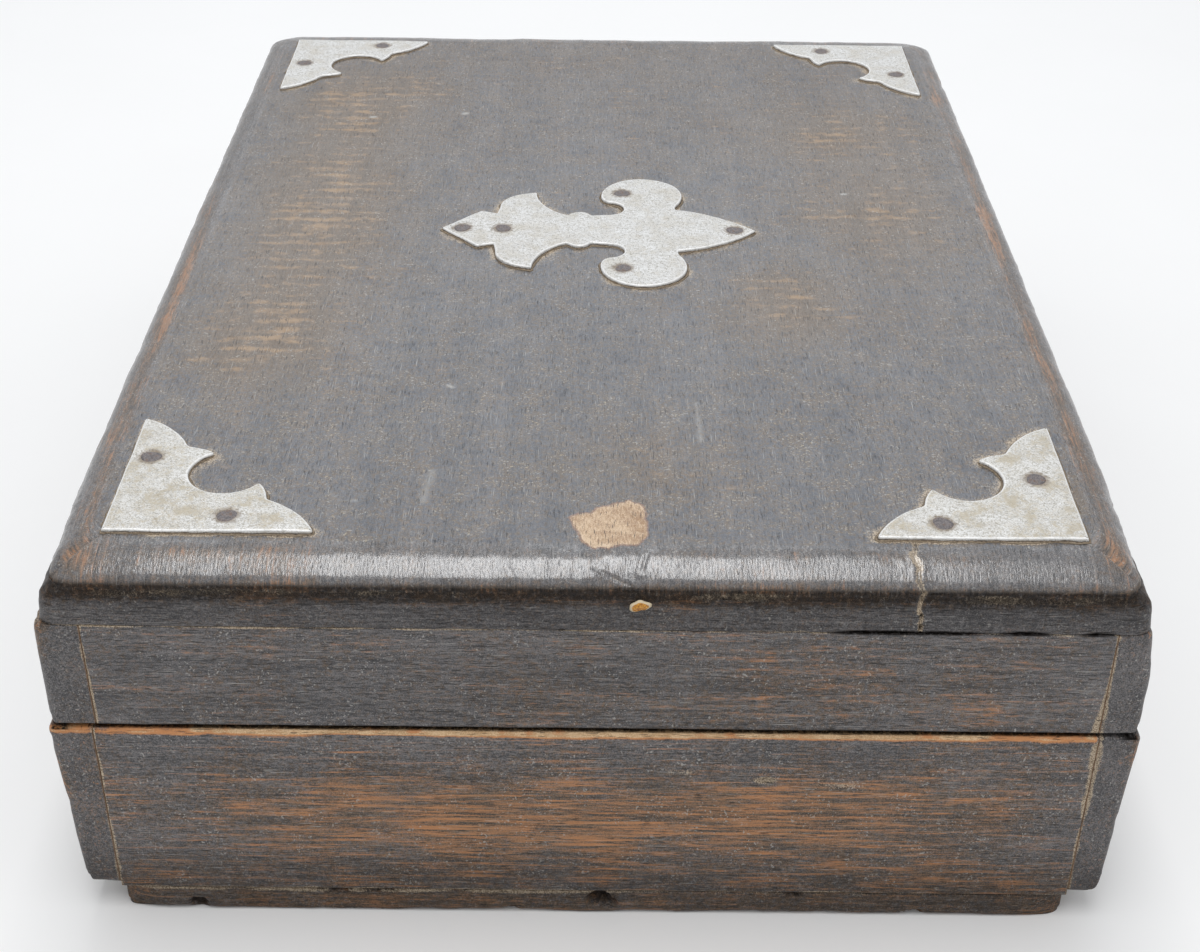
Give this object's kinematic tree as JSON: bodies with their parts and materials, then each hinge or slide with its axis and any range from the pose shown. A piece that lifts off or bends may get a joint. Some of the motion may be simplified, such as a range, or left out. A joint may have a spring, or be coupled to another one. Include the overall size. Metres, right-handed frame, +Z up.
{
  "type": "storage box",
  "caption": "Low hinged wooden storage box with a rounded lid panel, pale metal corner mounts, a fleur-de-lis lid mount, butt hinges and a hook catch.",
  "frame": {"origin": "middle of the flat underside of the bottom panel", "axes": "+Z up, +Y along the long side away from the pictured end, +X towards the hinged back; the catch is on the -X side"},
  "size_m": [0.2032, 0.266, 0.0816],
  "materials": {
    "panel_wood": "dark brown-black stain, worn to orange-brown on the edges",
    "frame_wood": "dark brown-black stain with fine grain",
    "base_wood": "worn dark stain over orange-brown grain",
    "bottom_wood": "dark, chipped at the edge",
    "mount_metal": "dull, finely scratched, grime in the pits",
    "nail_iron": "dark, rusty",
    "hinge_brass": "tarnished",
    "screw_brass": "tarnished",
    "catch_brass": "tarnished, rubbed bright on the arm"
  },
  "bodies": {
    "base": {"base_front_board": "base_wood", "base_back_board": "base_wood", "base_near_board": "base_wood", "base_far_board": "base_wood", "bottom_panel": "bottom_wood", "bottom_brads": "nail_iron", "near_hinge_base_leaf": "hinge_brass", "far_hinge_base_leaf": "hinge_brass", "near_hinge_pin": "hinge_brass", "far_hinge_pin": "hinge_brass", "hinge_base_screws": "screw_brass", "hook_pivot_screw": "catch_brass"},
    "lid": {"lid_panel": "panel_wood", "lid_front_rail": "frame_wood", "lid_back_rail": "frame_wood", "lid_near_rail": "frame_wood", "lid_far_rail": "frame_wood", "corner_mount_near_left": "mount_metal", "corner_mount_near_right": "mount_metal", "corner_mount_far_left": "mount_metal", "corner_mount_far_right": "mount_metal", "centre_mount": "mount_metal", "corner_mount_nails": "nail_iron", "centre_mount_nails": "nail_iron", "near_hinge_lid_leaf": "hinge_brass", "far_hinge_lid_leaf": "hinge_brass", "hinge_lid_screws": "screw_brass", "hook_stud": "catch_brass"},
    "hook": {"hook": "catch_brass"}
  },
  "joints": [
    {"name": "lid_hinge", "type": "hinge", "parent": "base", "child": "lid", "pos_m": [0.1003, 0, 0.0462], "axis": [0, 1, 0], "range_deg": [0, 105]},
    {"name": "hook_pivot", "type": "hinge", "parent": "base", "child": "hook", "pos_m": [-0.0993, 0, 0.0338], "axis": [1, 0, 0], "range_deg": [0, 180]}
  ]
}
